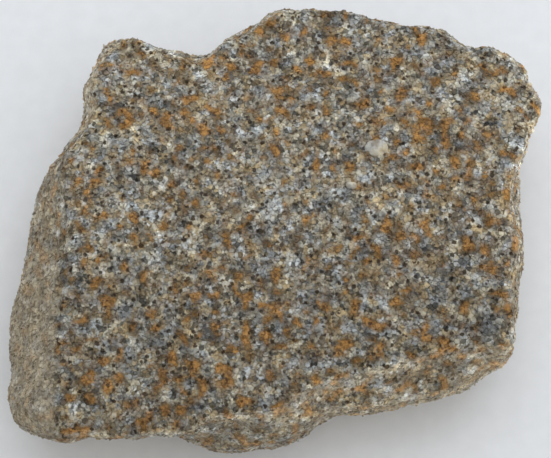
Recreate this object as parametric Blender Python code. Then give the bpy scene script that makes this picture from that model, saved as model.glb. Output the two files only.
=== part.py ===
"""A hand specimen of coarse sandstone: one solid stone, broken out of a flat bed.

It lies on its underside with the fresh broken face up. +X runs to the right along the stone's
length, +Y runs away from the viewer, +Z is up and square to the bedding. The origin is the
middle of the stone's box, at the height of the small flat spot that it rests on.
"""

import math

import bmesh
import bpy
from mathutils import Matrix, Vector, noise

MM = 0.001

# Driving sizes, in millimetres
THICKNESS = 32.0
STATION_STEP = 1.5
BLEND_LENGTH = 6.0
BLOCK_VOXEL = 1.2
STONE_VOXEL = 0.8
TRIANGLES = 9400

# The face's crown and the base's: how much of the ring is left, and how far it has risen or dropped
TOP_CROWN = ((0.1, 1.2), (0.5, 1.0), (0.85, 0.5))
BASE_CROWN = ((0.88, 1.9), (0.66, 3.2), (0.48, 4.0), (0.34, 4.8), (0.1, 5.4))

# The bedding planes: their heights, how deep a ledge each one makes, and how the ledges vary
BEDDING = ((4.8, 1.0), (8.6, 0.8), (13.0, 1.2), (17.2, 1.0), (21.4, 0.8), (27.0, 0.7))
BEDDING_WAVE = 1.3
BEDDING_WAVELENGTH = 34.0
LEDGE_RISE = 1.1
LEDGE_WAVELENGTH = 19.0

# Whatever lies below this height is levelled into the resting spot
SPOT_SNAP = 0.05

# The break's unevenness: depth and size of each kind
BROAD_RELIEF = 0.8
BROAD_WAVELENGTH = 24.0
FACET_RELIEF = 1.8
FACET_SIZE = 11.0
HACKLY_RELIEF = 0.45
HACKLY_WAVELENGTH = 7.0
CHIP_DEPTH = 2.2
CHIP_WAVELENGTH = 8.0
OUTWARD_SHIFT = 0.8
FAR_FALL = 2.5
FAR_FALL_START = 14.0
FAR_FALL_END = 42.0

STONE_COLOUR = (0.24, 0.205, 0.155, 1.0)

# The heights, as shares of the thickness, at which a side's profile is given, rim first. The
# sides slope outwards over the upper ones and are undercut below them.
LEVELS = (1.0, 0.92, 0.84, 0.75, 0.62, 0.38, 0.13)

# How much of the outline's detail has gone at each of those levels
EASING = (0.0, 0.0, 0.05, 0.1, 0.15, 0.5, 0.7)

# Each side of the stone: how far it stands in from the outline at each level, in millimetres,
# and its corners as seen from above, going clockwise from the far left knob.
SIDES = (
    (
        "far left knob",
        (2.4, 0.8, 0.2, 0.0, 0.5, 3.0, 6.5),
        ((-34.2, 34.9), (-32.0, 36.9), (-26.8, 37.7), (-25.1, 36.9), (-22.5, 35.5), (-19.3, 34.6)),
    ),
    (
        "notch",
        (1.6, 0.4, 0.0, 0.0, 0.6, 2.4, 5.0),
        ((-17.9, 33.5), (-14.2, 32.7), (-12.6, 33.0), (-10.9, 35.1), (-9.1, 37.5), (-6.1, 39.6)),
    ),
    (
        "far side",
        (2.2, 0.8, 0.2, 0.0, 0.4, 2.6, 6.0),
        (
            (-2.6, 42.6), (-0.2, 43.7), (4.7, 43.3), (8.2, 43.2), (10.4, 42.6), (13.8, 43.4),
            (18.2, 42.2), (21.6, 42.4), (28.6, 40.4), (32.8, 38.0), (34.6, 35.2),
        ),
    ),
    (
        "far right corner",
        (1.4, 0.3, 0.0, 0.3, 1.6, 4.2, 7.6),
        (
            (37.7, 34.1), (38.9, 34.9), (43.2, 35.2), (45.4, 33.6), (48.8, 31.9), (49.4, 28.7),
            (51.8, 25.0), (52.3, 22.2), (51.2, 18.2), (50.6, 14.8),
        ),
    ),
    (
        "right side",
        (2.6, 1.6, 0.8, 0.2, 0.0, 2.4, 6.0),
        ((49.2, 11.6), (48.4, 6.4), (47.9, -2.8), (47.2, -12.3), (47.9, -15.2), (46.9, -18.3)),
    ),
    (
        "near right corner",
        (1.8, 1.0, 0.4, 0.0, 0.6, 3.2, 7.0),
        ((46.2, -23.6), (44.6, -26.6)),
    ),
    (
        "near right slope",
        (7.4, 5.6, 3.0, 0.6, 0.0, 3.5, 8.0),
        (
            (39.4, -27.7), (37.6, -29.4), (34.8, -31.4), (28.9, -33.0), (25.2, -33.5),
            (20.9, -35.5), (13.9, -36.8), (9.3, -37.6),
        ),
    ),
    (
        "near ledge",
        (4.4, 3.8, 3.2, 2.0, 0.0, 0.6, 5.0),
        ((5.6, -39.7), (1.1, -41.2), (-4.1, -41.9)),
    ),
    (
        "near foot",
        (2.4, 2.2, 2.0, 1.4, 0.0, 0.6, 5.0),
        ((-11.0, -42.2), (-16.2, -42.0)),
    ),
    (
        "near left overhang",
        (0.6, 0.0, 0.4, 1.2, 2.6, 5.5, 9.5),
        ((-20.8, -41.9), (-24.0, -41.8), (-33.3, -41.6), (-40.2, -42.0)),
    ),
    (
        "near left corner",
        (5.2, 4.0, 2.6, 1.2, 0.0, 2.6, 7.5),
        ((-45.8, -40.9), (-50.4, -38.6), (-52.4, -35.6)),
    ),
    (
        "left face",
        (9.4, 7.6, 5.2, 2.8, 0.0, 2.6, 8.5),
        (
            (-53.2, -31.5), (-52.3, -28.2), (-53.0, -25.0), (-52.5, -19.9), (-51.3, -12.4),
            (-50.9, -6.8), (-49.8, 1.2), (-48.8, 5.2),
        ),
    ),
    (
        "far left side",
        (2.2, 1.2, 0.6, 0.0, 0.4, 2.8, 6.0),
        (
            (-47.0, 8.4), (-46.1, 11.5), (-43.6, 14.1), (-42.6, 16.5), (-40.7, 18.6),
            (-38.4, 22.7), (-37.6, 24.0), (-37.8, 27.0), (-35.8, 30.8),
        ),
    ),
)


def outline_stations():
    """The outline in even steps, each with its side's profile: a list of (point, insets)."""
    corners = [(Vector(xy), insets) for _, insets, side in SIDES for xy in side]
    stations = []
    for (here, insets), (there, _) in zip(corners, corners[1:] + corners[:1]):
        steps = max(1, round((there - here).length / STATION_STEP))
        stations += [(here.lerp(there, i / steps), Vector(insets)) for i in range(steps)]
    return stations


def ring_average(values, reach):
    """A closed list of vectors, each the mean of those within reach places of it."""
    count = len(values)
    width = 2 * reach + 1
    return [
        sum((values[(i + j) % count] for j in range(-reach, reach + 1)), values[0] * 0) / width
        for i in range(count)
    ]


def side_rings():
    """One closed ring of 3-D points for each level, rim first, in millimetres."""
    points, profiles = zip(*outline_stations())
    reach = round(BLEND_LENGTH / STATION_STEP)
    profiles = ring_average(profiles, reach)
    smooth = ring_average(points, reach)
    rings = []
    for level, share in enumerate(LEVELS):
        ring = []
        for i, point in enumerate(points):
            along = smooth[(i + 1) % len(points)] - smooth[i - 1]
            inwards = Vector((along.y, -along.x)).normalized()
            place = point.lerp(smooth[i], EASING[level]) + inwards * profiles[i][level]
            ring.append(Vector((place.x, place.y, share * THICKNESS)))
        rings.append(ring)
    return rings


def shrunk(ring, share, rise):
    """The ring drawn in towards its middle and lifted, to carry on over a face."""
    middle = sum(ring, Vector()) / len(ring)
    lift = Vector((0, 0, rise))
    return [middle.lerp(p, share) + lift for p in ring]


def block_mesh():
    """The stone's main form: its side rings, closed over the top face and under the base."""
    sides = side_rings()
    top = [shrunk(sides[0], share, rise) for share, rise in TOP_CROWN]
    base = [shrunk(sides[-1], share, -drop) for share, drop in BASE_CROWN]
    bm = bmesh.new()
    rings = [[bm.verts.new(p) for p in ring] for ring in top + sides + base]
    for upper, lower in zip(rings, rings[1:]):
        for i in range(len(upper)):
            bm.faces.new((upper[i - 1], upper[i], lower[i], lower[i - 1]))
    bm.faces.new(rings[0])
    bm.faces.new(reversed(rings[-1]))
    bmesh.ops.recalc_face_normals(bm, faces=bm.faces)
    bmesh.ops.scale(bm, vec=Vector((MM, MM, MM)), verts=bm.verts)
    mesh = bpy.data.meshes.new("block")
    bm.to_mesh(mesh)
    bm.free()
    return mesh


def smoothstep(low, high, value):
    """0 below low, 1 above high, and a smooth rise between them."""
    share = min(1.0, max(0.0, (value - low) / (high - low)))
    return share * share * (3 - 2 * share)


def ledges(place):
    """How far the ledges along the bedding planes set a side back at this place."""
    dip = BEDDING_WAVE * noise.noise(place / BEDDING_WAVELENGTH)
    depth = 0.0
    for plane, strength in BEDDING:
        along = Vector((place.x, place.y, 9 * plane)) / LEDGE_WAVELENGTH
        here = strength * (0.35 + 1.3 * noise.noise(along))
        depth += here * (smoothstep(-LEDGE_RISE, LEDGE_RISE, place.z + dip - plane) - 0.5)
    return depth


def facets(place):
    """A cleft surface of tilted flat facets, from -1 to 1, in place of a smooth swell."""
    scaled = place / FACET_SIZE
    distances, centres = noise.voronoi(scaled)
    heights = [
        (scaled - centre).dot(noise.cell_vector(centre * 7.1) - Vector((0.5, 0.5, 0.5))) * 1.4
        + noise.cell(centre * 5.3) - 0.5
        for centre in centres[:2]
    ]
    nearest = 0.5 + 0.5 * smoothstep(0.0, 0.3, distances[1] - distances[0])
    height = heights[0] * nearest + heights[1] * (1 - nearest)
    return height / math.sqrt(1 + height * height)


def relief(place, normal):
    """Where the broken surface lies, as a move from the block's smooth surface, in millimetres."""
    level = Vector((normal.x, normal.y, 0))
    steep = smoothstep(0.4, 0.85, level.length)
    rim = 4 * steep * (1 - steep) * smoothstep(0.0, 0.3, normal.z)
    face = smoothstep(0.5, 0.9, normal.z)
    base = smoothstep(0.3, 0.8, -normal.z)
    left_face = smoothstep(-38.0, -46.0, place.x)
    bedded = smoothstep(-22.0, -28.0, place.y) * smoothstep(0.0, 10.0, place.x)
    move = Vector()
    if steep > 0:
        out = FACET_RELIEF * facets(place) * (1 - 0.7 * bedded) - ledges(place)
        out *= 1 - 0.6 * left_face
        move += level.normalized() * steep * (OUTWARD_SHIFT + (0.25 * out if out > 0 else out))
    broad = BROAD_RELIEF * noise.noise(place / BROAD_WAVELENGTH)
    hackly = HACKLY_RELIEF * noise.fractal(place / HACKLY_WAVELENGTH, 0.8, 2.0, 4)
    cleft = FACET_RELIEF * facets(place) * max(0.25 * face, 0.5 * base)
    chip = CHIP_DEPTH * smoothstep(0.1, 0.5, noise.noise(place / CHIP_WAVELENGTH))
    chip *= (1 - 0.8 * left_face) * (1 - 0.5 * bedded)
    hackly *= 1 - 0.3 * steep - 0.3 * face
    move += normal * (broad * face + hackly + cleft - chip * rim)
    fall = FAR_FALL * face * smoothstep(FAR_FALL_START, FAR_FALL_END, place.y)
    return move - Vector((0, 0, fall))


def break_surface(mesh):
    """Moves the vertices of the smooth block to its broken surface."""
    moves = [relief(v.co / MM, v.normal) for v in mesh.vertices]
    for vertex, move in zip(mesh.vertices, moves):
        vertex.co += move * MM


def level_resting_spot(mesh):
    """Levels what hangs below height 0 into the small flat spot that the stone rests on."""
    for vertex in mesh.vertices:
        if vertex.co.z < SPOT_SNAP * MM:
            vertex.co.z = 0.0


def evaluated_copy(obj):
    """A new mesh of the object with its modifiers applied."""
    graph = bpy.context.evaluated_depsgraph_get()
    return bpy.data.meshes.new_from_object(obj.evaluated_get(graph))


def with_modifier(mesh, kind, **settings):
    """A new mesh: this one with a single modifier applied."""
    helper = bpy.data.objects.new("helper", mesh)
    bpy.context.scene.collection.objects.link(helper)
    modifier = helper.modifiers.new(kind.lower(), kind)
    for name, value in settings.items():
        setattr(modifier, name, value)
    made = evaluated_copy(helper)
    bpy.data.objects.remove(helper)
    return made


def centre_over_origin(mesh):
    """Puts the middle of the stone's box over the origin."""
    xs = [v.co.x for v in mesh.vertices]
    ys = [v.co.y for v in mesh.vertices]
    middle = Vector((min(xs) + max(xs), min(ys) + max(ys), 0)) / 2
    mesh.transform(Matrix.Translation(-middle))


def sandstone_material():
    material = bpy.data.materials.new("sandstone")
    material.use_nodes = True
    surface = material.node_tree.nodes["Principled BSDF"]
    surface.inputs["Base Color"].default_value = STONE_COLOUR
    surface.inputs["Roughness"].default_value = 0.85
    surface.inputs["Metallic"].default_value = 0.0
    return material


def main():
    for obj in list(bpy.data.objects):
        bpy.data.objects.remove(obj)
    mesh = with_modifier(block_mesh(), "REMESH", mode="VOXEL", voxel_size=BLOCK_VOXEL * MM)
    break_surface(mesh)
    mesh = with_modifier(mesh, "REMESH", mode="VOXEL", voxel_size=STONE_VOXEL * MM)
    level_resting_spot(mesh)
    mesh = with_modifier(mesh, "TRIANGULATE")
    mesh = with_modifier(mesh, "DECIMATE", ratio=TRIANGLES / len(mesh.polygons))
    level_resting_spot(mesh)
    centre_over_origin(mesh)
    mesh.name = "sandstone"
    mesh.materials.append(sandstone_material())
    stone = bpy.data.objects.new("sandstone", mesh)
    bpy.context.scene.collection.objects.link(stone)


main()
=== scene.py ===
"""The look of the coarse sandstone specimen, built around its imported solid.

A body of cement follows the solid a little below its surface, and a mosaic of angular sand
grains fills the surface over it. Each grain is a small closed mesh with a broken top and worn
edges: clear, grey, smoky and milky quartz, feldspar, dark minerals and grains stained by iron.
Three larger pale clasts are set among the grains of the top face.
"""

import math

import bmesh
import bpy
import numpy as np
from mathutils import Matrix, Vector, kdtree, noise


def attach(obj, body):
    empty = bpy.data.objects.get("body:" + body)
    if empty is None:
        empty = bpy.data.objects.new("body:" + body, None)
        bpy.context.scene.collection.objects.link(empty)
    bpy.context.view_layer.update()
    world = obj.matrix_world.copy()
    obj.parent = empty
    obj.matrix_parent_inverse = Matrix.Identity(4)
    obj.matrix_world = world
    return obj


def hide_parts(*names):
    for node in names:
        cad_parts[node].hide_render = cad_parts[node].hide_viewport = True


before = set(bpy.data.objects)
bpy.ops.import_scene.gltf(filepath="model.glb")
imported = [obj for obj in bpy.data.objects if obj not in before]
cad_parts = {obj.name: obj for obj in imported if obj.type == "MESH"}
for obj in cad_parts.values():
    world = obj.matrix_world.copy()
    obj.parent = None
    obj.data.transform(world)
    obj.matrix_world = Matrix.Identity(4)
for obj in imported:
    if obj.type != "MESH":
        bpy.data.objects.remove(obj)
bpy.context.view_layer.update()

MM = 0.001
SEED = 7

# The photograph and the camera that took it
PHOTO_WIDTH = 551
PHOTO_HEIGHT = 458
MM_PER_PIXEL = 0.19
CAMERA_ELEVATION = math.radians(82)
CAMERA_DISTANCE = 450 * MM
CAMERA_CLIP = 10 * MM
SENSOR_WIDTH = 36.0
AIM = Vector((0.25, -1.6, 32.0)) * MM

# How far each seed moves the noise, and how a finer octave of it fades and shrinks
NOISE_SHIFT = (17.3, 5.1, 9.7)
OCTAVE_FADE = 0.9
OCTAVE_STEP = 2.0

# Each pattern of noise: its wavelength in millimetres and its seed, which no other one has
STAIN_SPOTS = (1.9, 1)
STAIN_REGIONS = (12.0, 2)
ROUGH_NOISE = (3.0, 3)
BEDDING_NOISE = (1.8, 4)
CEMENT_TONE = (0.9, 5)
DARK_FINE = (1.6, 6)
PALE_FINE = (1.9, 7)
GRAIN_TONE = (3.4, 8)
DARK_COARSE = (6.0, 9)
PALE_COARSE = (7.0, 10)
WARM_NOISE = (2.4, 11)
SHADE_FINE = (9.0, 12)
SHADE_COARSE = (22.0, 13)
CLAST_TONE = (1.5, 14)
GREY_NOISE = (1.3, 15)
LEFT_EDGE_NOISE = (3.0, 16)
HACKLY_NOISE = (5.5, 17)
STAIN_GROUPS = (5.0, 18)

# The body of cement: its voxels, how far it lies below the solid, and its relief
BODY_VOXEL = 0.9
BODY_DEPTH = 0.22
SMOOTHING = 0.5
SMOOTHING_ROUNDS = 2
ROUGH_DEPTH = 0.20
BEDDING_DEPTH = 0.32
BEDDING_STRETCH = 0.10
HACKLY_DEPTH = 0.45
HACKLY_HIGHEST = 0.3

# The body's charts in the square that its look is baked to
LEVEL_FACING = 0.5
PLAN_SIZE = (0.49, 0.60)
UNDER_START = (0.505, 0.0)
BAND_START = (0.02, 0.62)
BAND_SIZE = (0.96, 0.36)

# The grains: for each size its radius, and how many places are tried per squared radius
GRAIN_SIZES = ((0.62, 0.12), (0.46, 0.45), (0.32, 0.85))
GRAIN_SPACING = 0.58
JOINT = 0.01
GRAIN_BASE = 0.05
GRAIN_RISE = 0.10
RISE_SPREAD = 0.05
LOWEST_TOP = 0.02
TOP_TILT = 0.24
TOP_CRUMPLE = 0.035
TOP_SHARE = (0.88, 0.98)
PIT_SHARE = 0.03
FLOOR_CLEARANCE = 0.02

# The cell round each grain: its lines and its reach in radii, and the least that is divided by
NEIGHBOURS = 16
OUTER_LINES = 6
SIGHT_LINES = 30
CELL_REACH = 1.45
LEAST_STEP = 0.01
LEAST_AHEAD = 0.001
LEAST_SPREAD = 0.05

# From this x part of its normal on, a grain's own axes are worked out from y
NEARLY_SIDEWAYS = 0.8

# How far a grain reaches in its square of the chart, and its base's size and place there
CHART_REACH = 0.44
BASE_SIZE = 0.1
BASE_PLACE = -0.43

# How each grain's kind is chosen from the noise where it lies and from its own draw, 0 to 1
COARSE_SHARE = 0.5
DARK_PATCH_PULL = 0.35
PALE_PATCH_PULL = 0.45
IRON_FROM = 0.66
IRON_SPARED = 0.1
DARK_SHARE = 0.06
DARK_GAIN = 0.25
DARK_REGION = (0.25, 0.6)
SMOKY_CHANCE = 0.9
SMOKY_FROM = -0.15
MILKY_CHANCE = 0.7
MILKY_FROM = 0.80
FELDSPAR_CHANCE = 0.6
FELDSPAR_FROM = 0.46

# How much each grain's tone follows the noise and its own draw
TONE_NOISE_SHARE = 0.6
TONE_DRAW_SHARE = 0.2

# Where the photograph shows the plainest patches: x, y and radius in its pixels
RUST_PATCHES = (
    (330, 392, 10), (365, 388, 9), (302, 396, 8), (410, 375, 9), (248, 443, 9), (204, 440, 9),
    (271, 443, 7), (293, 432, 7), (178, 408, 7), (314, 412, 8), (241, 400, 7),
    (115, 120, 9), (190, 98, 8), (186, 116, 8), (128, 65, 6), (170, 195, 9), (130, 245, 7),
    (100, 285, 7), (80, 431, 14), (225, 372, 13), (270, 370, 8), (208, 388, 8), (335, 250, 7),
    (325, 305, 7), (375, 355, 13), (450, 355, 13), (485, 265, 8), (425, 128, 13), (452, 122, 9),
    (495, 75, 8), (518, 87, 6), (480, 100, 7), (120, 390, 7), (65, 285, 6),
)
DARK_PATCHES = (
    (80, 332, 18), (135, 297, 10), (450, 262, 22), (440, 245, 12), (485, 332, 20), (285, 60, 9),
    (152, 390, 11), (195, 400, 12),
)
# Three of the pale patches, on the right rim at (509, 238), (506, 264) and (525, 150), are painted
# highlights; the others are paler grains
PALE_AND_HIGHLIGHT_PATCHES = (
    (372, 184, 16), (72, 212, 13), (355, 105, 8), (125, 225, 14), (160, 222, 14), (80, 262, 8),
    (509, 238, 8), (506, 264, 6), (525, 150, 7), (90, 170, 8),
)

# A patch is full up to the first of these shares of its radius, and gone from the second on
PATCH_FADE = (0.3, 1.5)

# The pale clasts among the grains: x, y, half width and half height in the photograph's pixels
CLASTS = ((377, 148, 12, 9), (289, 200, 6, 5), (352, 186, 6, 4))
CLAST_CORNERS = 18
CLAST_RINGS = ((1.0, -0.30), (0.98, 0.05), (0.85, 0.14), (0.5, 0.18))
CLAST_WOBBLE = 0.22
CLAST_WOBBLE_PITCH = 2.2
CLAST_CRUMPLE = 0.07
CLAST_CRUMPLE_PITCH = 1.4
CLAST_STAIN = 0.7

# The top face lies above this height, in millimetres
TOP_FACE = 25.0

# Parts of the stone: where each begins and where it is full, in millimetres along one axis
NEAR_PART = (12, -24)
FAR_PART = (22, 34)
LEFT_PART = (-38, -42)
RIGHT_PART = (42, 44)
CORNER_LEFT = (0, -26)
CORNER_FAR = (0, 20)
FOOT_PART = (-37, -39)
LEDGE_PART = (-36, -38)
FLANK_NEAR_END = (3, 7)
FLANK_FAR_END = (20, 16)
FLANK_LEFT = (-30, -34)
CLEAN_HEIGHT = (8, 16)

# The same, by how much the surface faces right, away or up
SIDE_FACING = (0.50, 0.85)
RIGHT_FACING = (0.1, 0.4)
SLOPE_UPWARD = (0.96, 0.82)
SLOPE_NEARWARD = (-0.05, -0.25)
CLEAN_FACING = (0.0, 0.5)

# How much lighter each part is than the plain stone, or darker where it is below zero
PLAIN_LIGHT = 1.23
# Painted shade towards the near edge
NEAR_PAINTED_SHADE = -0.23
FAR_LIGHT = -0.05
# Painted light at the far left corner
CORNER_PAINTED_LIGHT = 0.05
FOOT_LIGHT = -0.19
SIDE_LIGHT = 0.20
FLANK_LIGHT = -0.12
SLOPE_LIGHT = 0.45
LEFT_LIGHT = -0.10
# The right rim: partly paler stone, partly a painted highlight
RIGHT_RIM_PALENESS_AND_HIGHLIGHT = 0.43
PALE_PATCH_LIGHT = 0.12
DARK_PATCH_LIGHT = -0.16
FINE_LIGHT = 0.10
COARSE_LIGHT = 0.05
JOINT_SHADE = 0.96
SHADE_SCALE = 0.5

# The iron stain: how strong its groups, regions and known patches are against its spots
GROUP_STAIN = 0.25
REGION_STAIN = 0.2
PATCH_STAIN = 0.34
STAIN_SPARING = 0.19
STAIN_CONTRAST = 0.7

# The dusty rind: the left face's edge in millimetres, and how thick it is on each part
LEFT_EDGE = -41.3
LEFT_EDGE_WANDER = 0.9
LEFT_EDGE_SOFTNESS = 0.8
LEFT_RIND = 0.50
LEFT_NEAR_RIND = 0.24
LEFT_NEAR_PART = (2, -16)
SIDE_RIND = 0.42
CLEAN_RIND = -0.28
LEDGE_RIND = -0.14

# Each speckle of the materials: wavelength in millimetres, detail, crispness and twist
CLOUD = (2.6, 1.0, 0.5, 0.0)
FLECK = (0.95, 1.0, 0.5, 0.9)
WISP = (1.1, 1.0, 0.5, 1.2)
CRACK = (0.80, 0.5, 0.5, 0.8)
FILM = (0.75, 3.0, 0.65, 0.5)
TINT = (3.2, 2.0, 0.6, 0.0)
PORE_WIDTH = (1.5, 2.0, 0.6, 0.0)
PORE_WANDER = (0.6, 2.0, 0.5, 0.0)
BUMP = (0.5, 3.0, 0.6, 0.0)

# How much a speckle lightens or darkens: its value, and the change there
CLOUD_LIGHTS = ((0.35, -0.30), (0.5, 0.0), (0.65, 0.28))
FLECK_LIGHTS = ((0.34, -0.50), (0.5, 0.0), (0.66, 0.30))
WISP_LIGHTS = ((0.58, 0.0), (0.70, 0.18))

# The pores and cracks between grains, their shade painted: spacing and wander in millimetres
PORE_SHADE_COLOUR = (0.17, 0.13, 0.09)
PORE_SPACING = 1.5
PORE_SHIFT = 0.6
PORE_REACH = 0.59
PORE_RIM = 0.11
PORE_UNEVENNESS = 0.6
CRACK_STOPS = (0.31, 0.385)
CRACK_STRENGTH = 0.7

# The cool and the warm tint of the minerals, and the dust on the rind, by their speckles
COOL = (0.965, 1.006, 1.035, 1.0)
WARM = (1.09, 0.978, 0.74, 1.0)
TINT_STOPS = (0.38, 0.62)
DUST_DARK = (0.31, 0.25, 0.17, 1.0)
DUST_LIGHT = (0.58, 0.50, 0.36, 1.0)
DUST_STOPS = (0.35, 0.65)
DUST_MOTTLE = 0.4
RIND_SHARE = 0.8

# The iron stain's edge, its colours inwards from there, and how much of the mineral it covers
STAIN_WEIGHT = 0.8
FILM_WEIGHT = 0.5
STAIN_EDGE = 0.66
FRINGE = (0.15, 0.093, 0.038, 1.0)
RUST = (0.16, 0.090, 0.029, 1.0)
ORANGE = (0.285, 0.135, 0.030, 1.0)
STAIN_COLOURS = ((0.0, FRINGE), (0.06, RUST), (0.16, ORANGE))
STAIN_COVERS = ((-0.24, 0.0), (-0.03, 0.56))
STAIN_FULL = 0.10
STAIN_SHARE = 0.84
STAIN_MOTTLE = 0.8

# The surface's polish and fine relief
SPECULAR = 0.25
POLISH_CHANGES = ((0.3, -0.1), (0.7, 0.15))
BUMP_STRENGTH = 0.35
BUMP_DEPTH = 0.12

# Each kind of grain: its name, its darkest and its palest colour, its roughness, and how much of
# it the iron stain can cover
GRAIN_KINDS = (
    ("clear_quartz", (0.22, 0.22, 0.215), (0.42, 0.425, 0.41), 0.35, STAIN_SHARE),
    ("grey_quartz", (0.20, 0.195, 0.185), (0.38, 0.375, 0.355), 0.4, STAIN_SHARE),
    ("smoky_quartz", (0.12, 0.118, 0.11), (0.26, 0.255, 0.24), 0.35, STAIN_SHARE),
    ("milky_quartz", (0.33, 0.33, 0.315), (0.47, 0.47, 0.45), 0.5, STAIN_SHARE),
    ("feldspar", (0.20, 0.165, 0.115), (0.37, 0.325, 0.25), 0.55, STAIN_SHARE),
    ("dark_mineral", (0.05, 0.05, 0.045), (0.12, 0.115, 0.10), 0.4, 0.6),
    ("iron_stained", (0.16, 0.12, 0.075), (0.33, 0.25, 0.155), 0.6, STAIN_SHARE),
)
CEMENT_COLOURS = ((0.12, 0.10, 0.072), (0.26, 0.22, 0.16))
CEMENT_ROUGHNESS = 0.8
CLAST_COLOURS = ((0.33, 0.318, 0.29), (0.45, 0.437, 0.405))
CLAST_ROUGHNESS = 0.5
CLAST_MOTTLE = 0.3

# Where a Mix node has its factor, its two colours and its mixed colour
MIX_INPUTS = (0, 6, 7)
MIX_OUTPUT = 2

# The studio: its floor, its sky, and each light's name, place and size in metres, power and colour
FLOOR_REACH = 1.5
PAPER_SCALE = 900.0
PAPER_SHADES = ((0.3, 0.80), (0.7, 0.83))
PAPER_ROUGHNESS = 0.9
SKY_COLOUR = (1.0, 1.0, 0.97, 1.0)
SKY_STRENGTH = 0.42
LIGHTS = (
    ("window", (0.05, 0.58, 0.72), 1.0, 3.9, (0.82, 0.89, 1.0)),
    ("ceiling", (0.0, 0.12, 1.0), 0.7, 2.6, (0.9, 0.94, 1.0)),
    ("softbox", (0.60, 0.05, 0.70), 1.0, 2.0, (0.86, 0.91, 1.0)),
)


def smoothstep(low, high, value):
    """0 below low, 1 above high, and a smooth rise between them, for a number or an array."""
    share = np.clip((value - low) / (high - low), 0.0, 1.0)
    return share * share * (3 - 2 * share)


def part_share(values, part):
    """0 where a part of the stone begins and 1 where it is full, for places in metres."""
    begins, full = part
    return smoothstep(begins * MM, full * MM, values)


def noise_at(points, wavelength, seed, octaves=1):
    """Smooth noise from about -1 to 1 at each point, with the wavelength in millimetres."""
    shift = Vector([seed * part for part in NOISE_SHIFT])
    scale = 1 / (wavelength * MM)
    places = [Vector(point) * scale + shift for point in points.tolist()]
    if octaves == 1:
        return np.array([noise.noise(place) for place in places])
    return np.array([noise.fractal(place, OCTAVE_FADE, OCTAVE_STEP, octaves) for place in places])


def vertex_array(mesh):
    values = np.empty(len(mesh.vertices) * 3)
    mesh.vertices.foreach_get("co", values)
    return values.reshape(-1, 3)


def normal_array(mesh):
    values = np.empty(len(mesh.vertices) * 3)
    mesh.vertex_normals.foreach_get("vector", values)
    return values.reshape(-1, 3)


def add_object(name, data):
    made = bpy.data.objects.new(name, data)
    bpy.context.scene.collection.objects.link(made)
    return made


# How the stone looks from place to place


def steepness(upward):
    """0 where the upward part of the normal is large, and 1 where it is small or below zero."""
    return 1 - smoothstep(*SIDE_FACING, upward)


def fresh_flank(points):
    """1 on the freshly broken far part of the left side, and 0 elsewhere."""
    band = part_share(points[:, 1], FLANK_NEAR_END) * part_share(points[:, 1], FLANK_FAR_END)
    return band * part_share(points[:, 0], FLANK_LEFT)


def rind_at(points, normals):
    """How dulled and dusty the surface is, from 0 on the fresh top to most on the left face."""
    edge = LEFT_EDGE + LEFT_EDGE_WANDER * noise_at(points, *LEFT_EDGE_NOISE)
    inside = points[:, 0] / MM - edge
    left_face = smoothstep(LEFT_EDGE_SOFTNESS, -LEFT_EDGE_SOFTNESS, inside)
    left_face *= LEFT_RIND + LEFT_NEAR_RIND * part_share(points[:, 1], LEFT_NEAR_PART)
    clean = smoothstep(*CLEAN_FACING, normals[:, 0] + normals[:, 1])
    clean = np.maximum(clean, fresh_flank(points)) * part_share(points[:, 2], CLEAN_HEIGHT)
    ledge = part_share(points[:, 1], LEDGE_PART)
    side = SIDE_RIND + CLEAN_RIND * clean + LEDGE_RIND * ledge
    return np.maximum(steepness(normals[:, 2]) * side, left_face)


def photo_place(x, y):
    """Where a pixel of the photograph lies over the top face: its x and y in metres."""
    right = (x - PHOTO_WIDTH / 2) * MM_PER_PIXEL * MM + AIM.x
    away = (PHOTO_HEIGHT / 2 - y) * MM_PER_PIXEL * MM / math.sin(CAMERA_ELEVATION) + AIM.y
    return right, away


def patches_at(points, patches):
    """How far inside one of the photograph's patches each point is seen, from 0 to 1."""
    share = np.zeros(len(points))
    seen = points[:, 1] - (AIM.z - points[:, 2]) / math.tan(CAMERA_ELEVATION)
    for x, y, radius in patches:
        right, away = photo_place(x, y)
        far = np.hypot(points[:, 0] - right, seen - away) / (radius * MM_PER_PIXEL * MM)
        share = np.maximum(share, 1 - smoothstep(*PATCH_FADE, far))
    return share


def stain_at(points):
    """How stained by iron each point is, from 0 to 1: the patches' edges lie near a half."""
    clusters = noise_at(points, *STAIN_SPOTS) + GROUP_STAIN * noise_at(points, *STAIN_GROUPS)
    regions = REGION_STAIN * noise_at(points, *STAIN_REGIONS)
    known = PATCH_STAIN * patches_at(points, RUST_PATCHES)
    return np.clip(0.5 + STAIN_CONTRAST * (clusters + regions + known - STAIN_SPARING), 0, 1)


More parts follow.
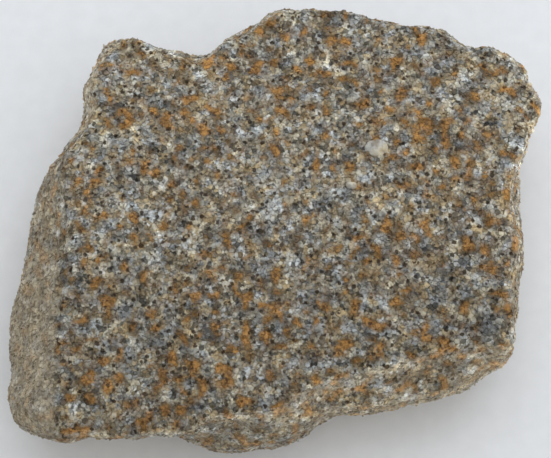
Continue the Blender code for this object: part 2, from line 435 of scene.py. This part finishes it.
def painted_light_and_tone_at(points, normals):
    """How light the stone is, around 1: darker towards the near edge, which is painted shade,
    lighter at the far left corner, which is painted light, paler on its steep sides, and lighter
    on the right rim, partly paler stone and partly a painted highlight.
    """
    x, y = points[:, 0], points[:, 1]
    left = part_share(x, LEFT_PART)
    corner = part_share(x, CORNER_LEFT) * part_share(y, CORNER_FAR)
    foot = part_share(y, FOOT_PART) * (1 - left)
    slope = smoothstep(*SLOPE_UPWARD, normals[:, 2]) * smoothstep(*SLOPE_NEARWARD, normals[:, 1])
    right = smoothstep(*RIGHT_FACING, normals[:, 0]) * part_share(x, RIGHT_PART)
    # Painted shade towards the near edge
    light = PLAIN_LIGHT + NEAR_PAINTED_SHADE * part_share(y, NEAR_PART)
    # The far left corner's lightening is painted light
    light += FAR_LIGHT * part_share(y, FAR_PART) + CORNER_PAINTED_LIGHT * corner + FOOT_LIGHT * foot
    light += FINE_LIGHT * noise_at(points, *SHADE_FINE)
    light += COARSE_LIGHT * noise_at(points, *SHADE_COARSE)
    # Pale patches, three of them painted highlights on the right rim
    light += PALE_PATCH_LIGHT * patches_at(points, PALE_AND_HIGHLIGHT_PATCHES)
    light += DARK_PATCH_LIGHT * patches_at(points, DARK_PATCHES)
    side = (SIDE_LIGHT + FLANK_LIGHT * fresh_flank(points)) * steepness(normals[:, 2])
    # On the right rim the lightening is partly paler stone and partly a painted highlight
    side += SLOPE_LIGHT * slope * (1 - left) + LEFT_LIGHT * left + RIGHT_RIM_PALENESS_AND_HIGHLIGHT * right
    return light * (1.0 + side)


def set_look(mesh, tone, stain, rind, shade):
    """Stores what the materials read at each vertex, in the four parts of one colour."""
    look = mesh.attributes.new("look", "FLOAT_COLOR", "POINT")
    values = np.stack([tone, stain, rind, shade * SHADE_SCALE], axis=1)
    look.data.foreach_set("color", values.astype(np.float32).ravel())


# The body


def fine_copy(cad):
    """An even, fine and slightly smoothed copy of the solid's mesh."""
    helper = add_object("helper", cad.data.copy())
    remesh = helper.modifiers.new("even", "REMESH")
    remesh.mode = "VOXEL"
    remesh.voxel_size = BODY_VOXEL * MM
    smooth = helper.modifiers.new("smooth", "SMOOTH")
    smooth.factor = SMOOTHING
    smooth.iterations = SMOOTHING_ROUNDS
    graph = bpy.context.evaluated_depsgraph_get()
    mesh = bpy.data.meshes.new_from_object(helper.evaluated_get(graph))
    bpy.data.objects.remove(helper)
    return mesh


def roughen(mesh):
    """Lowers the surface to the cement between the grains, uneven and with bedding lines."""
    points = vertex_array(mesh)
    normals = normal_array(mesh)
    rough = ROUGH_DEPTH * noise_at(points, *ROUGH_NOISE, octaves=3)
    layers = points * np.array([BEDDING_STRETCH, BEDDING_STRETCH, 1.0])
    bedding = BEDDING_DEPTH * noise_at(layers, *BEDDING_NOISE)
    hackly = np.minimum(noise_at(points, *HACKLY_NOISE, octaves=4), HACKLY_HIGHEST)
    sides = bedding + HACKLY_DEPTH * hackly
    depth = -BODY_DEPTH + rough + steepness(np.abs(normals[:, 2])) * sides
    points += normals * (depth * MM)[:, None]
    points[:, 2] = np.maximum(points[:, 2], 2 * FLOOR_CLEARANCE * MM)
    mesh.vertices.foreach_set("co", points.ravel())
    mesh.update()


def unwrap_body(mesh):
    """Charts for the top, the underside and the band round the sides, in one square."""
    chart = mesh.uv_layers.new(name="OFBake")
    points = vertex_array(mesh)
    low, high = points.min(0), points.max(0)
    size = high - low
    middle = (low + high) / 2
    loops = np.empty(len(mesh.loops), int)
    mesh.loops.foreach_get("vertex_index", loops)
    owner = np.repeat(np.arange(len(mesh.polygons)), [p.loop_total for p in mesh.polygons])
    facing = np.array([p.normal[:] for p in mesh.polygons])[owner]
    centre = np.array([p.center[:] for p in mesh.polygons])[owner]
    at = points[loops]
    plan = (at - low)[:, :2] / size[:2]
    angle = np.arctan2(at[:, 1] - middle[1], at[:, 0] - middle[0])
    face_angle = np.arctan2(centre[:, 1] - middle[1], centre[:, 0] - middle[0])
    angle += 2 * np.pi * np.round((face_angle - angle) / (2 * np.pi))
    around = (angle + np.pi) / (2 * np.pi)
    up = (at[:, 2] - low[2]) / size[2]
    top = plan * PLAN_SIZE
    under = plan * PLAN_SIZE + UNDER_START
    band = np.stack([around, up], axis=1) * BAND_SIZE + BAND_START
    below = np.where(facing[:, 2:] < -LEVEL_FACING, under, band)
    corners = np.where(facing[:, 2:] > LEVEL_FACING, top, below)
    chart.data.foreach_set("uv", corners.astype(np.float32).ravel())


def make_body(cad):
    mesh = fine_copy(cad)
    roughen(mesh)
    points = vertex_array(mesh)
    normals = normal_array(mesh)
    tone = 0.5 + 0.5 * noise_at(points, *CEMENT_TONE)
    set_look(mesh, tone, stain_at(points), rind_at(points, normals), painted_light_and_tone_at(points, normals))
    unwrap_body(mesh)
    mesh.shade_smooth()
    mesh.name = "stone_body"
    return add_object("stone_body", mesh)


# The grains


def surface_triangles(mesh):
    """For each triangle of the mesh its corners, the normals at them, and its area."""
    mesh.calc_loop_triangles()
    triangles = np.array([t.vertices[:] for t in mesh.loop_triangles])
    corners = vertex_array(mesh)[triangles]
    a, b, c = (corners[:, k] for k in range(3))
    areas = np.linalg.norm(np.cross(b - a, c - a), axis=1) / 2
    return corners, normal_array(mesh)[triangles], areas


def random_places(corners, normals, areas, count, rng):
    """Random places evenly over the triangles, and the way the surface faces at each."""
    chosen = rng.choice(len(areas), count, p=areas / areas.sum())
    share = rng.random((count, 2))
    share = np.where(share.sum(1, keepdims=True) > 1, 1 - share, share)
    weights = np.stack([1 - share.sum(1), share[:, 0], share[:, 1]], axis=1)[:, :, None]
    return (corners[chosen] * weights).sum(1), (normals[chosen] * weights).sum(1)


def scatter(mesh, rng):
    """Places over the surface for grains of each size, largest first, none too near another.

    Gives the grains' places, the way the surface faces there, and their radii."""
    corners, normals, areas = surface_triangles(mesh)
    cell = 2 * GRAIN_SPACING * GRAIN_SIZES[0][0] * MM
    steps = [(x, y, z) for x in (-1, 0, 1) for y in (-1, 0, 1) for z in (-1, 0, 1)]
    cells = {}
    kept = []
    for radius, tries in GRAIN_SIZES:
        radius *= MM
        count = int(tries * areas.sum() / radius**2)
        places, facing = random_places(corners, normals, areas, count, rng)
        keys = np.floor(places / cell).astype(int).tolist()
        for i, (place, (kx, ky, kz)) in enumerate(zip(places.tolist(), keys)):
            near = (p for x, y, z in steps for p in cells.get((kx + x, ky + y, kz + z), ()))
            if all(math.dist(place, p) >= GRAIN_SPACING * (radius + r) for p, r in near):
                cells.setdefault((kx, ky, kz), []).append((place, radius))
                kept.append((*place, *facing[i], radius))
    kept = np.array(kept)
    facing = kept[:, 3:6] / np.linalg.norm(kept[:, 3:6], axis=1)[:, None]
    return kept[:, :3], facing, kept[:, 6]


def own_axes(facing):
    """Two axes across each grain, square to each other and to the way the grain faces."""
    helper = np.where(np.abs(facing[:, :1]) < NEARLY_SIDEWAYS, [1.0, 0.0, 0.0], [0.0, 1.0, 0.0])
    across = np.cross(helper, facing)
    across /= np.linalg.norm(across, axis=1)[:, None]
    return across, np.cross(facing, across)


def cell_lines(places, radius, across, along):
    """The lines round each grain's cell, in the grain's own plane: which way and how far each is.

    Most lie between the grain and a near one, closer to the smaller of the two. The others
    close the cell where no grain is near."""
    tree = kdtree.KDTree(len(places))
    for number, place in enumerate(places.tolist()):
        tree.insert(place, number)
    tree.balance()
    found = (tree.find_n(place, NEIGHBOURS + 1)[1:] for place in places.tolist())
    near = np.array([[number for _, number, _ in row] for row in found])
    step = places[near] - places[:, None]
    flat = np.stack([(step * axis[:, None]).sum(2) for axis in (across, along)], axis=2)
    length = np.maximum(np.linalg.norm(flat, axis=2), LEAST_STEP * MM)
    distance = ((step**2).sum(2) + radius[:, None] ** 2 - radius[near] ** 2) / (2 * length)
    turns = np.arange(OUTER_LINES) * 2 * math.pi / OUTER_LINES
    outer = np.stack([np.cos(turns), np.sin(turns)], axis=1)
    outer = np.broadcast_to(outer, (len(places), OUTER_LINES, 2))
    reach = np.broadcast_to(CELL_REACH * radius[:, None], (len(places), OUTER_LINES))
    direction = np.concatenate([flat / length[:, :, None], outer], axis=1)
    return direction, np.concatenate([distance, reach], axis=1)


def cell_corners(direction, distance):
    """Where neighbouring lines meet round each cell: each corner's cell, and the corners."""
    turns = np.arange(SIGHT_LINES) * 2 * math.pi / SIGHT_LINES
    sight = np.stack([np.cos(turns), np.sin(turns)])
    ahead = direction @ sight
    reach = distance[:, :, None] / np.maximum(ahead, LEAST_AHEAD)
    reach = np.where(ahead > LEAST_AHEAD, reach, np.inf)
    first = reach.argmin(1)
    second = np.roll(first, -1, axis=1)
    cell, turn = np.nonzero(first != second)
    one, other = first[cell, turn], second[cell, turn]
    (ax, ay), (bx, by) = direction[cell, one].T, direction[cell, other].T
    a, b = distance[cell, one], distance[cell, other]
    spread = ax * by - ay * bx
    spread = np.where(np.abs(spread) < LEAST_SPREAD, LEAST_SPREAD, spread)
    corner = np.stack([a * by - b * ay, ax * b - bx * a], axis=1) / spread[:, None]
    return cell, corner


def grain_faces(n):
    """A grain with n corners: its top, slopes and base by corner number, and their sizes."""
    turn = [(k + 1) % n for k in range(n)]
    top = [n + k for k in range(n)]
    slopes = [i for k in range(n) for i in (k, turn[k], n + turn[k], n + k)]
    base = list(range(n))[::-1]
    return np.array(top + slopes + base), np.array([n] + [4] * n + [n])


def grain_rings(grains, corner, rng):
    """The corners of grains that all have as many: their lower ring and then their upper one."""
    count, n, _ = corner.shape
    top_share = rng.uniform(*TOP_SHARE, size=(count, 1, 1))
    flat = np.concatenate([corner * (1 - JOINT), corner * top_share], axis=1)
    tilt = rng.normal(0, TOP_TILT, size=(count, 1, 2))
    top = GRAIN_RISE * MM + grains["lift"][:, None] + (flat[:, n:] * tilt).sum(2)
    top += rng.normal(0, TOP_CRUMPLE * MM, size=(count, n))
    top = np.maximum(top, LOWEST_TOP * MM)
    rise = np.concatenate([np.full((count, n), -GRAIN_BASE * MM), top], axis=1)
    points = grains["place"][:, None] + grains["facing"][:, None] * rise[:, :, None]
    points += grains["across"][:, None] * flat[:, :, :1]
    points += grains["along"][:, None] * flat[:, :, 1:]
    points[:, :, 2] = np.maximum(points[:, :, 2], FLOOR_CLEARANCE * MM)
    return points, flat


def grain_chart(flat, face, number, row):
    """Each grain's faces in its own square of the chart, with its base small in one corner."""
    square = np.stack([number % row, number // row], axis=1)[:, None] + 0.5
    within = flat[:, face] * (CHART_REACH / np.abs(flat).max((1, 2)))[:, None, None]
    base = len(face) - flat.shape[1] // 2
    within[:, base:] = BASE_SIZE * within[:, base:] + BASE_PLACE
    return ((square + within) / row).reshape(-1, 2)


def mesh_of(name, points, faces, sizes, chart):
    """A flat-shaded mesh: its faces are given by all their corners in a row and their sizes."""
    mesh = bpy.data.meshes.new(name)
    mesh.vertices.add(len(points))
    mesh.vertices.foreach_set("co", points.ravel())
    mesh.loops.add(len(faces))
    mesh.loops.foreach_set("vertex_index", faces)
    mesh.polygons.add(len(sizes))
    mesh.polygons.foreach_set("loop_start", np.concatenate([[0], sizes.cumsum()[:-1]]))
    mesh.update(calc_edges=True)
    mesh.shade_flat()
    layer = mesh.uv_layers.new(name="OFBake")
    layer.data.foreach_set("uv", chart.astype(np.float32).ravel())
    return mesh


def grain_mesh(name, grains, cell, corner, rng):
    """One mesh of many grains, each with its own small square of the bake's chart."""
    counts = np.bincount(cell, minlength=len(grains["place"]))
    row = math.ceil(math.sqrt(len(counts)))
    points, normals, tones, shades, faces, sizes, charts = [], [], [], [], [], [], []
    used = 0
    done = 0
    for n in range(3, counts.max() + 1):
        mine = np.nonzero(counts == n)[0]
        if len(mine) == 0:
            continue
        some = {key: values[mine] for key, values in grains.items()}
        place, flat = grain_rings(some, corner[np.isin(cell, mine)].reshape(-1, n, 2), rng)
        face, size = grain_faces(n)
        offset = used + np.arange(len(mine))[:, None] * 2 * n
        points.append(place.reshape(-1, 3))
        normals.append(np.repeat(some["facing"], 2 * n, axis=0))
        tones.append(np.repeat(some["tone"], 2 * n))
        shades.append(np.tile(np.repeat([JOINT_SHADE, 1.0], n), len(mine)))
        faces.append((face + offset).ravel())
        sizes.append(np.tile(size, len(mine)))
        charts.append(grain_chart(flat, face, done + np.arange(len(mine)), row))
        used += len(mine) * 2 * n
        done += len(mine)
    points, normals, tones, shades = map(np.concatenate, (points, normals, tones, shades))
    faces, sizes, charts = map(np.concatenate, (faces, sizes, charts))
    mesh = mesh_of(name, points, faces, sizes, charts)
    shades = shades * painted_light_and_tone_at(points, normals)
    set_look(mesh, tones, stain_at(points), rind_at(points, normals), shades)
    return mesh


def make_grains(body, kinds, rng):
    """Sets the grains in the body and joins each kind of them into one piece."""
    places, facing, radius = scatter(body.data, rng)
    count = len(places)
    across, along = own_axes(facing)
    tone = 0.5 + TONE_NOISE_SHARE * noise_at(places, *GRAIN_TONE, octaves=2)
    tone = np.clip(tone + TONE_DRAW_SHARE * (rng.random(count) - 0.5), 0, 1)
    lift = rng.normal(0, RISE_SPREAD, count)
    lift = np.clip(lift, -2 * RISE_SPREAD, 2 * RISE_SPREAD) * MM
    kind_of = choose_kinds(places, stain_at(places), rng.random(count))
    pit = (rng.random(count) < PIT_SHARE) | in_clasts(places)
    direction, distance = cell_lines(places, radius, across, along)
    grains = {
        "place": places, "facing": facing, "across": across, "along": along,
        "tone": tone, "lift": lift,
    }
    made = []
    for number, (name, material) in enumerate(kinds):
        mine = (kind_of == number) & ~pit
        cell, corner = cell_corners(direction[mine], distance[mine])
        some = {key: values[mine] for key, values in grains.items()}
        mesh = grain_mesh(name, some, cell, corner, rng)
        mesh.materials.append(material)
        made.append(add_object(name, mesh))
    return made


def choose_kinds(places, stain, draw):
    """The number of each grain's kind, in the order of GRAIN_KINDS."""
    dark_region = noise_at(places, *DARK_FINE) + COARSE_SHARE * noise_at(places, *DARK_COARSE)
    dark_region += DARK_PATCH_PULL * patches_at(places, DARK_PATCHES)
    pale_region = noise_at(places, *PALE_FINE) + COARSE_SHARE * noise_at(places, *PALE_COARSE)
    # Milky grains gather in the pale patches, among them the right rim's painted highlights
    pale_region += PALE_PATCH_PULL * patches_at(places, PALE_AND_HIGHLIGHT_PATCHES)
    warm_region = noise_at(places, *WARM_NOISE)
    chosen = (
        ("iron_stained", (stain > IRON_FROM) & (draw > IRON_SPARED)),
        ("dark_mineral", draw < DARK_SHARE + DARK_GAIN * smoothstep(*DARK_REGION, dark_region)),
        ("smoky_quartz", dark_region - SMOKY_CHANCE * draw > SMOKY_FROM),
        ("milky_quartz", pale_region + MILKY_CHANCE * draw > MILKY_FROM),
        ("feldspar", warm_region + FELDSPAR_CHANCE * draw > FELDSPAR_FROM),
        ("grey_quartz", noise_at(places, *GREY_NOISE) > 0),
    )
    names = [kind[0] for kind in GRAIN_KINDS]
    numbers = [names.index(name) for name, _ in chosen]
    return np.select([where for _, where in chosen], numbers, names.index("clear_quartz"))


# The clasts


def in_clasts(places):
    """Which places on the top face lie inside a clast."""
    inside = np.zeros(len(places), bool)
    for x, y, wide, high in CLASTS:
        right, away = photo_place(x, y)
        across = (places[:, 0] - right) / (wide * MM_PER_PIXEL * MM)
        along = (places[:, 1] - away) / (high * MM_PER_PIXEL * MM)
        inside |= np.hypot(across, along) < 1
    return inside & (places[:, 2] > TOP_FACE * MM)


def clast_ring(bm, clast, middle, share, rise):
    """One ring of a clast's corners, at a share of its half size and a rise in millimetres."""
    x, y, wide, high = clast
    ring = []
    for k in range(CLAST_CORNERS):
        turn = 2 * math.pi * k / CLAST_CORNERS
        way = Vector((math.cos(turn), math.sin(turn), 0.0))
        wobble = CLAST_WOBBLE * noise.noise(way * CLAST_WOBBLE_PITCH + Vector((x, y, 0)))
        place = Vector((way.x * wide, way.y * high, 0)) * (share * (1 + wobble)) * MM_PER_PIXEL
        crumple = noise.noise(place * CLAST_CRUMPLE_PITCH + Vector((y, x, 0)))
        place.z = rise + CLAST_CRUMPLE * crumple
        ring.append(bm.verts.new(place * MM + middle))
    return ring


def make_clasts(body, material):
    """The pale clasts in one piece: each is a low, uneven, broken dome set into the top face."""
    surface = vertex_array(body.data)
    surface = surface[surface[:, 2] > TOP_FACE * MM]
    bm = bmesh.new()
    for clast in CLASTS:
        right, away = photo_place(*clast[:2])
        nearest = np.hypot(surface[:, 0] - right, surface[:, 1] - away).argmin()
        middle = Vector((right, away, surface[nearest, 2]))
        rings = [clast_ring(bm, clast, middle, *ring) for ring in CLAST_RINGS]
        for lower, upper in zip(rings, rings[1:]):
            for k in range(CLAST_CORNERS):
                bm.faces.new((lower[k - 1], lower[k], upper[k], upper[k - 1]))
        bm.faces.new(reversed(rings[0]))
        bmesh.ops.poke(bm, faces=[bm.faces.new(rings[-1])])
    mesh = bpy.data.meshes.new("pale_clasts")
    bm.to_mesh(mesh)
    bm.free()
    mesh.shade_flat()
    points = vertex_array(mesh)
    normals = np.tile([0.0, 0.0, 1.0], (len(points), 1))
    tone = 0.5 + 0.5 * noise_at(points, *CLAST_TONE)
    stain = CLAST_STAIN * stain_at(points)
    set_look(mesh, tone, stain, rind_at(points, normals), painted_light_and_tone_at(points, normals))
    mesh.materials.append(material)
    return add_object("pale_clasts", mesh)


# The materials


def new_material(name):
    material = bpy.data.materials.new(name)
    material.use_nodes = True
    return material, material.node_tree.nodes, material.node_tree.links


def grey(value):
    return (value, value, value, 1.0)


def mix_colour(nodes, links, factor, first, second, blend="MIX"):
    """A node that mixes two colours: each is a colour, or another node's output."""
    node = nodes.new("ShaderNodeMix")
    node.data_type = "RGBA"
    node.blend_type = blend
    for number, value in zip(MIX_INPUTS, (factor, first, second)):
        socket = node.inputs[number]
        if isinstance(value, bpy.types.NodeSocket):
            links.new(value, socket)
        else:
            socket.default_value = value
    return node.outputs[MIX_OUTPUT]


def sum_of(nodes, links, *terms):
    """Nodes that add up terms, each an output and its weight."""
    total = None
    for output, weight in terms:
        node = nodes.new("ShaderNodeMath")
        node.operation = "MULTIPLY_ADD"
        links.new(output, node.inputs[0])
        node.inputs[1].default_value = weight
        node.inputs[2].default_value = 0.0
        if total is not None:
            links.new(total, node.inputs[2])
        total = node.outputs[0]
    return total


def ramp(nodes, links, factor, stops):
    """A colour ramp over (position, colour) stops."""
    node = nodes.new("ShaderNodeValToRGB")
    while len(node.color_ramp.elements) < len(stops):
        node.color_ramp.elements.new(0.5)
    for element, (position, colour) in zip(node.color_ramp.elements, stops):
        element.position = position
        element.color = colour
    links.new(factor, node.inputs[0])
    return node.outputs[0]


def change_ramp(nodes, links, factor, changes, strength=1.0, plain=1.0):
    """A ramp of greys over (position, change) stops, each change from the plain value."""
    stops = [(position, grey(plain + strength * change)) for position, change in changes]
    return ramp(nodes, links, factor, stops)


def noise_node(nodes, links, place, wavelength, detail, crispness, twist):
    """A noise texture with the wavelength in millimetres, wound up by the twist."""
    node = nodes.new("ShaderNodeTexNoise")
    node.inputs["Scale"].default_value = 1 / (wavelength * MM)
    node.inputs["Detail"].default_value = detail
    node.inputs["Roughness"].default_value = crispness
    node.inputs["Distortion"].default_value = twist
    links.new(place, node.inputs["Vector"])
    return node


def speckle(nodes, links, place, *pattern):
    """One of the speckles, from 0 to 1."""
    return noise_node(nodes, links, place, *pattern).outputs["Fac"]


def spots(nodes, links, place):
    """How far each place is from the nearest of scattered points, in shares of their spacing."""
    shift = nodes.new("ShaderNodeVectorMath")
    shift.operation = "MULTIPLY_ADD"
    wander = noise_node(nodes, links, place, *PORE_WANDER)
    links.new(wander.outputs["Color"], shift.inputs[0])
    shift.inputs[1].default_value = (PORE_SHIFT * MM,) * 3
    links.new(place, shift.inputs[2])
    cells = nodes.new("ShaderNodeTexVoronoi")
    cells.inputs["Scale"].default_value = 1 / (PORE_SPACING * MM)
    links.new(shift.outputs[0], cells.inputs["Vector"])
    return cells.outputs["Distance"]


def mottling(nodes, links, place, strength):
    """The light and dark of a broken sandstone: clouds, flecks, pale wisps, and cracks and pores
    with painted shade.
    """
    cloud = speckle(nodes, links, place, *CLOUD)
    fleck = speckle(nodes, links, place, *FLECK)
    wisp = speckle(nodes, links, place, *WISP)
    crack = speckle(nodes, links, place, *CRACK)
    width = speckle(nodes, links, place, *PORE_WIDTH)
    pore = sum_of(nodes, links, (spots(nodes, links, place), 1.0), (width, PORE_UNEVENNESS))
    # The painted shade of the cracks and pores
    hollow_shade = tuple(1 - strength * (1 - part) for part in PORE_SHADE_COLOUR) + (1.0,)
    plain = grey(1.0)
    cracks = ramp(nodes, links, crack, ((CRACK_STOPS[0], hollow_shade), (CRACK_STOPS[1], plain)))
    pores = ramp(nodes, links, pore, ((PORE_REACH - PORE_RIM, hollow_shade), (PORE_REACH, plain)))
    mottle = change_ramp(nodes, links, cloud, CLOUD_LIGHTS)
    for factor, layer in (
        (1.0, change_ramp(nodes, links, fleck, FLECK_LIGHTS, strength)),
        (1.0, change_ramp(nodes, links, wisp, WISP_LIGHTS, strength)),
        (CRACK_STRENGTH, cracks),
        (1.0, pores),
    ):
        mottle = mix_colour(nodes, links, factor, mottle, layer, "MULTIPLY")
    return mottle


def stained(nodes, links, colour, iron, mottle, stain_share):
    """The colour with the iron stain over it, where there is enough iron."""
    colours = [(STAIN_EDGE + inwards, stain) for inwards, stain in STAIN_COLOURS]
    rust = ramp(nodes, links, iron, colours)
    rust = mix_colour(nodes, links, STAIN_MOTTLE, rust, mottle, "MULTIPLY")
    covers = [(STAIN_EDGE + inwards, grey(cover)) for inwards, cover in STAIN_COVERS]
    covers.append((STAIN_EDGE + STAIN_FULL, grey(stain_share)))
    return mix_colour(nodes, links, ramp(nodes, links, iron, covers), colour, rust)


def dusted(nodes, links, colour, rind, film, mottle):
    """The colour with the dust of the rind over it."""
    dust = ramp(nodes, links, film, tuple(zip(DUST_STOPS, (DUST_DARK, DUST_LIGHT))))
    dust = mix_colour(nodes, links, DUST_MOTTLE, dust, mottle, "MULTIPLY")
    return mix_colour(nodes, links, sum_of(nodes, links, (rind, RIND_SHARE)), colour, dust)


def stone_material(name, colours, roughness, mottle_strength=1.0, stain_share=STAIN_SHARE):
    """A mineral's colours by grain, its mottling, iron stain, dusty rind and fine relief."""
    material, nodes, links = new_material(name)
    look = nodes.new("ShaderNodeAttribute")
    look.attribute_name = "look"
    parts = nodes.new("ShaderNodeSeparateColor")
    links.new(look.outputs["Color"], parts.inputs[0])
    tone, stain, rind = parts.outputs
    place = nodes.new("ShaderNodeTexCoord").outputs["Object"]
    film = speckle(nodes, links, place, *FILM)
    tint = speckle(nodes, links, place, *TINT)
    mottle = mottling(nodes, links, place, mottle_strength)
    darkest, palest = colours
    colour = ramp(nodes, links, tone, ((0.0, (*darkest, 1.0)), (1.0, (*palest, 1.0))))
    colour = mix_colour(nodes, links, 1.0, colour, mottle, "MULTIPLY")
    warmth = ramp(nodes, links, tint, tuple(zip(TINT_STOPS, (COOL, WARM))))
    colour = mix_colour(nodes, links, 1.0, colour, warmth, "MULTIPLY")
    iron = sum_of(nodes, links, (stain, STAIN_WEIGHT), (film, FILM_WEIGHT))
    colour = stained(nodes, links, colour, iron, mottle, stain_share)
    colour = dusted(nodes, links, colour, rind, film, mottle)
    # The look's alpha lightens or darkens the colour: tone by place, with painted shade and light,
    # and painted highlights on the right rim
    shade = sum_of(nodes, links, (look.outputs["Alpha"], 1 / SHADE_SCALE))
    colour = mix_colour(nodes, links, 1.0, colour, shade, "MULTIPLY")
    polish = change_ramp(nodes, links, film, POLISH_CHANGES, plain=roughness)
    bump = nodes.new("ShaderNodeBump")
    bump.inputs["Strength"].default_value = BUMP_STRENGTH
    bump.inputs["Distance"].default_value = BUMP_DEPTH * MM
    links.new(speckle(nodes, links, place, *BUMP), bump.inputs["Height"])
    surface = nodes["Principled BSDF"]
    surface.inputs["Specular IOR Level"].default_value = SPECULAR
    links.new(colour, surface.inputs["Base Color"])
    links.new(polish, surface.inputs["Roughness"])
    links.new(bump.outputs["Normal"], surface.inputs["Normal"])
    return material


def stone_kinds():
    """Each kind of grain: its piece's name and its material."""
    return [
        (name + "_grains", stone_material(name, (dark, pale), rough, stain_share=stain_share))
        for name, dark, pale, rough, stain_share in GRAIN_KINDS
    ]


# The stage


def make_floor():
    bm = bmesh.new()
    bmesh.ops.create_grid(bm, x_segments=1, y_segments=1, size=FLOOR_REACH)
    mesh = bpy.data.meshes.new("floor")
    bm.to_mesh(mesh)
    bm.free()
    material, nodes, links = new_material("paper")
    fibres = nodes.new("ShaderNodeTexNoise")
    fibres.inputs["Scale"].default_value = PAPER_SCALE
    shades = [(position, grey(shade)) for position, shade in PAPER_SHADES]
    surface = nodes["Principled BSDF"]
    surface.inputs["Roughness"].default_value = PAPER_ROUGHNESS
    links.new(ramp(nodes, links, fibres.outputs["Fac"], shades), surface.inputs["Base Color"])
    mesh.materials.append(material)
    floor = add_object("floor", mesh)


def look_at(obj, place, target):
    obj.location = place
    obj.rotation_euler = (target - place).to_track_quat("-Z", "Y").to_euler()


def make_camera():
    camera = bpy.data.cameras.new("camera")
    camera.sensor_width = SENSOR_WIDTH
    camera.lens = SENSOR_WIDTH * CAMERA_DISTANCE / (PHOTO_WIDTH * MM_PER_PIXEL * MM)
    camera.clip_start = CAMERA_CLIP
    holder = add_object("camera", camera)
    back = Vector((0, -math.cos(CAMERA_ELEVATION), math.sin(CAMERA_ELEVATION)))
    look_at(holder, AIM + back * CAMERA_DISTANCE, AIM)
    bpy.context.scene.camera = holder


def light_scene():
    scene = bpy.context.scene
    scene.view_settings.view_transform = "Standard"
    world = bpy.data.worlds.new("studio")
    world.use_nodes = True
    sky = world.node_tree.nodes["Background"]
    sky.inputs["Color"].default_value = SKY_COLOUR
    sky.inputs["Strength"].default_value = SKY_STRENGTH
    scene.world = world
    for name, place, size, power, colour in LIGHTS:
        lamp = bpy.data.lights.new(name, "AREA")
        lamp.size = size
        lamp.energy = power
        lamp.color = colour
        look_at(add_object(name, lamp), Vector(place), AIM)


def main():
    rng = np.random.default_rng(SEED)
    make_camera()
    light_scene()
    make_floor()
    body = make_body(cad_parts["sandstone"])
    body.data.materials.clear()
    body.data.materials.append(stone_material("cement", CEMENT_COLOURS, CEMENT_ROUGHNESS))
    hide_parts("sandstone")
    grains = make_grains(body, stone_kinds(), rng)
    pale = stone_material("pale_clast", CLAST_COLOURS, CLAST_ROUGHNESS, CLAST_MOTTLE)
    clasts = make_clasts(body, pale)
    for piece in [body, *grains, clasts]:
        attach(piece, "root")


main()
